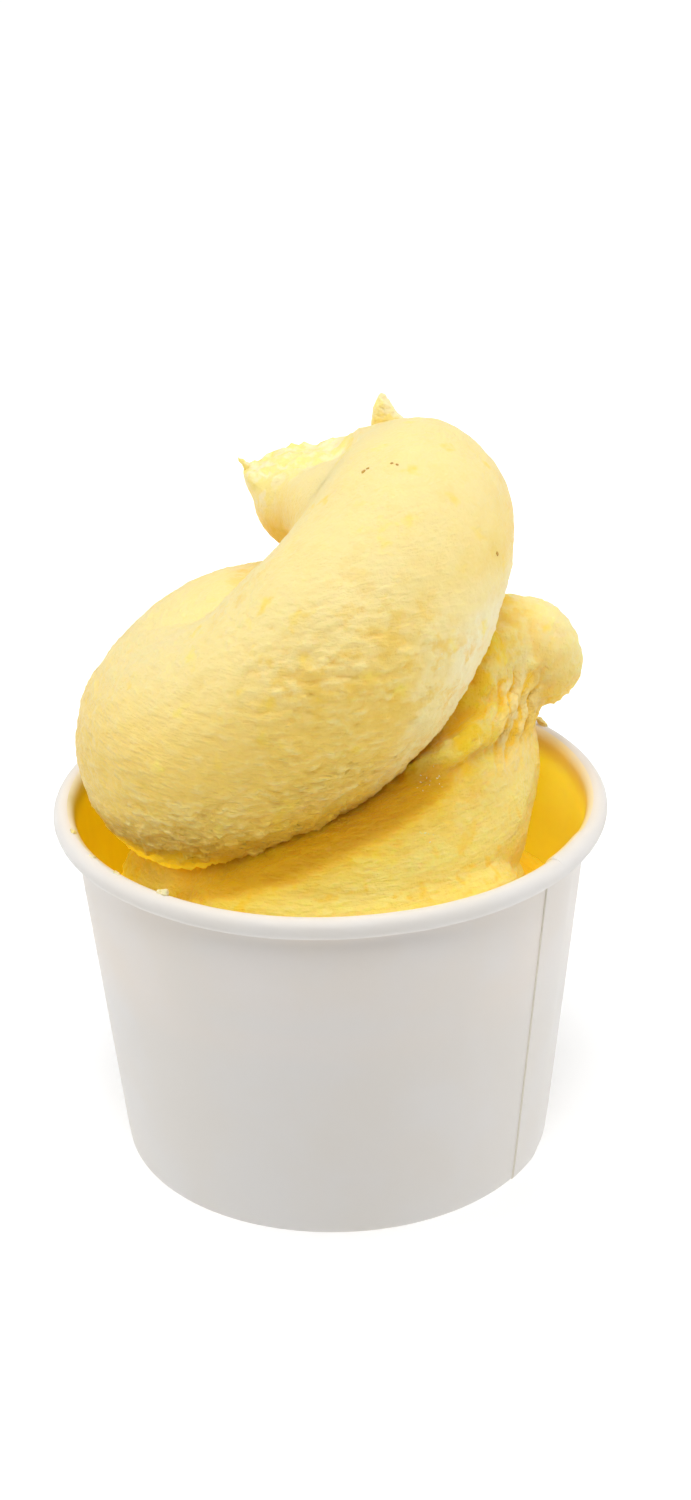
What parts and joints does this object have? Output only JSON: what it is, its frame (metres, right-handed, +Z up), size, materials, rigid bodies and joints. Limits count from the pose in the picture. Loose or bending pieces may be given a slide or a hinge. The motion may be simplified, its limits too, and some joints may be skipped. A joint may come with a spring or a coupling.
{
  "type": "soft serve cup",
  "caption": "Thick rope of yellow fruit soft serve coiled high into a round white paper cup with a rolled rim, its upper end torn off.",
  "frame": {"origin": "middle of the cup's foot, on the surface that the cup stands on", "axes": "+Z up along the cup's axis; +X towards the side where the squeezed-out lobe stands out; -Y towards the side that the thick upper rope crosses; the cup's lap seam is 36.7 degrees clockwise from +X seen from above"},
  "size_m": [0.09, 0.09, 0.1227],
  "materials": {
    "cup_paper": "smooth white paper with a thin satin coating",
    "base_paper": "uncoated white paper",
    "soft_serve": "pale yellow fruit soft serve, moist and softly translucent, finely wrinkled along the rope"
  },
  "bodies": {
    "root": {"cup_wall": "cup_paper", "cup_base": "base_paper", "soft_serve": "soft_serve"}
  },
  "joints": []
}
